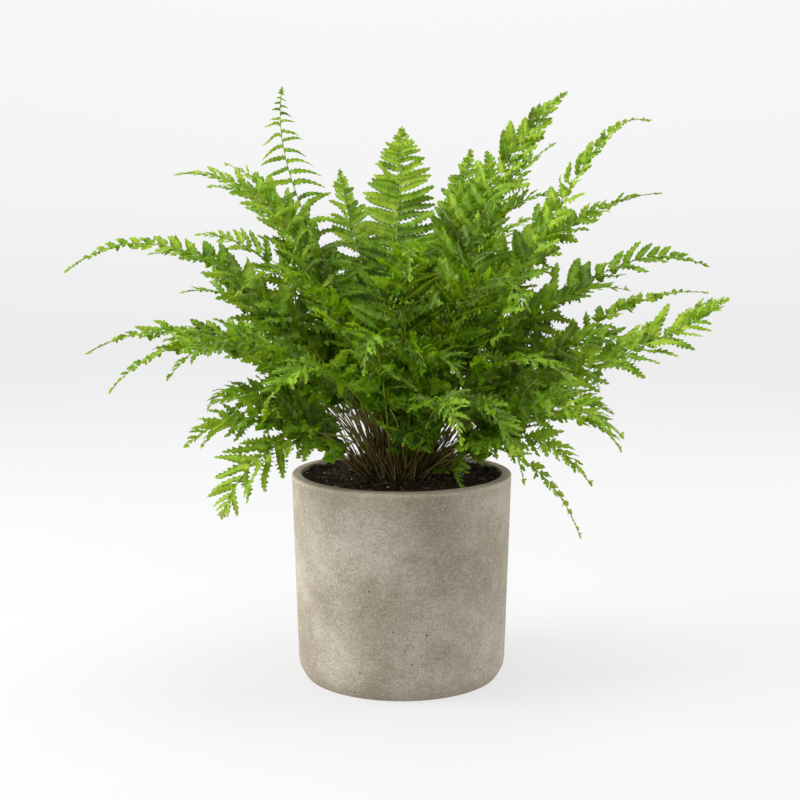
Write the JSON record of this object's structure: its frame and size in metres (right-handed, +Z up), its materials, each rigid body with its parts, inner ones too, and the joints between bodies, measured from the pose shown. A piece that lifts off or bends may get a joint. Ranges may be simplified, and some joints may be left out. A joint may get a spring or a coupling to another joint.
{
  "type": "potted fern",
  "caption": "Korean rock fern: arching, finely cut fronds on wiry stalks, growing from a low crown in a soil-filled cylindrical concrete pot.",
  "frame": {"origin": "centre of the pot's flat underside", "axes": "+Z up, -Y towards the side the plant is seen from, +X to its right"},
  "size_m": [0.5072, 0.405, 0.453],
  "materials": {
    "concrete": "matte",
    "potting_soil": "matte",
    "rootstock": "matte",
    "fern_green": "satin"
  },
  "bodies": {
    "root": {"pot": "concrete", "soil": "potting_soil", "crown": "rootstock", "frond_01": "fern_green", "frond_02": "fern_green", "frond_03": "fern_green", "frond_04": "fern_green", "frond_05": "fern_green", "frond_06": "fern_green", "frond_07": "fern_green", "frond_08": "fern_green", "frond_09": "fern_green", "frond_10": "fern_green", "frond_11": "fern_green", "frond_12": "fern_green", "frond_13": "fern_green", "frond_14": "fern_green", "frond_15": "fern_green", "frond_16": "fern_green", "frond_17": "fern_green", "frond_18": "fern_green", "frond_19": "fern_green", "frond_20": "fern_green", "frond_21": "fern_green", "frond_22": "fern_green", "frond_23": "fern_green", "frond_24": "fern_green", "frond_25": "fern_green", "frond_26": "fern_green", "frond_27": "fern_green", "frond_28": "fern_green", "frond_29": "fern_green", "frond_30": "fern_green", "frond_31": "fern_green", "frond_32": "fern_green", "frond_33": "fern_green", "frond_34": "fern_green", "frond_35": "fern_green", "frond_36": "fern_green", "frond_37": "fern_green", "frond_38": "fern_green", "frond_39": "fern_green", "frond_40": "fern_green", "frond_41": "fern_green", "frond_42": "fern_green", "frond_43": "fern_green", "frond_44": "fern_green", "frond_45": "fern_green", "frond_46": "fern_green", "frond_47": "fern_green", "frond_48": "fern_green", "frond_49": "fern_green", "frond_50": "fern_green", "frond_51": "fern_green", "frond_52": "fern_green", "frond_53": "fern_green", "frond_54": "fern_green", "frond_55": "fern_green", "frond_56": "fern_green", "frond_57": "fern_green"}
  },
  "joints": []
}
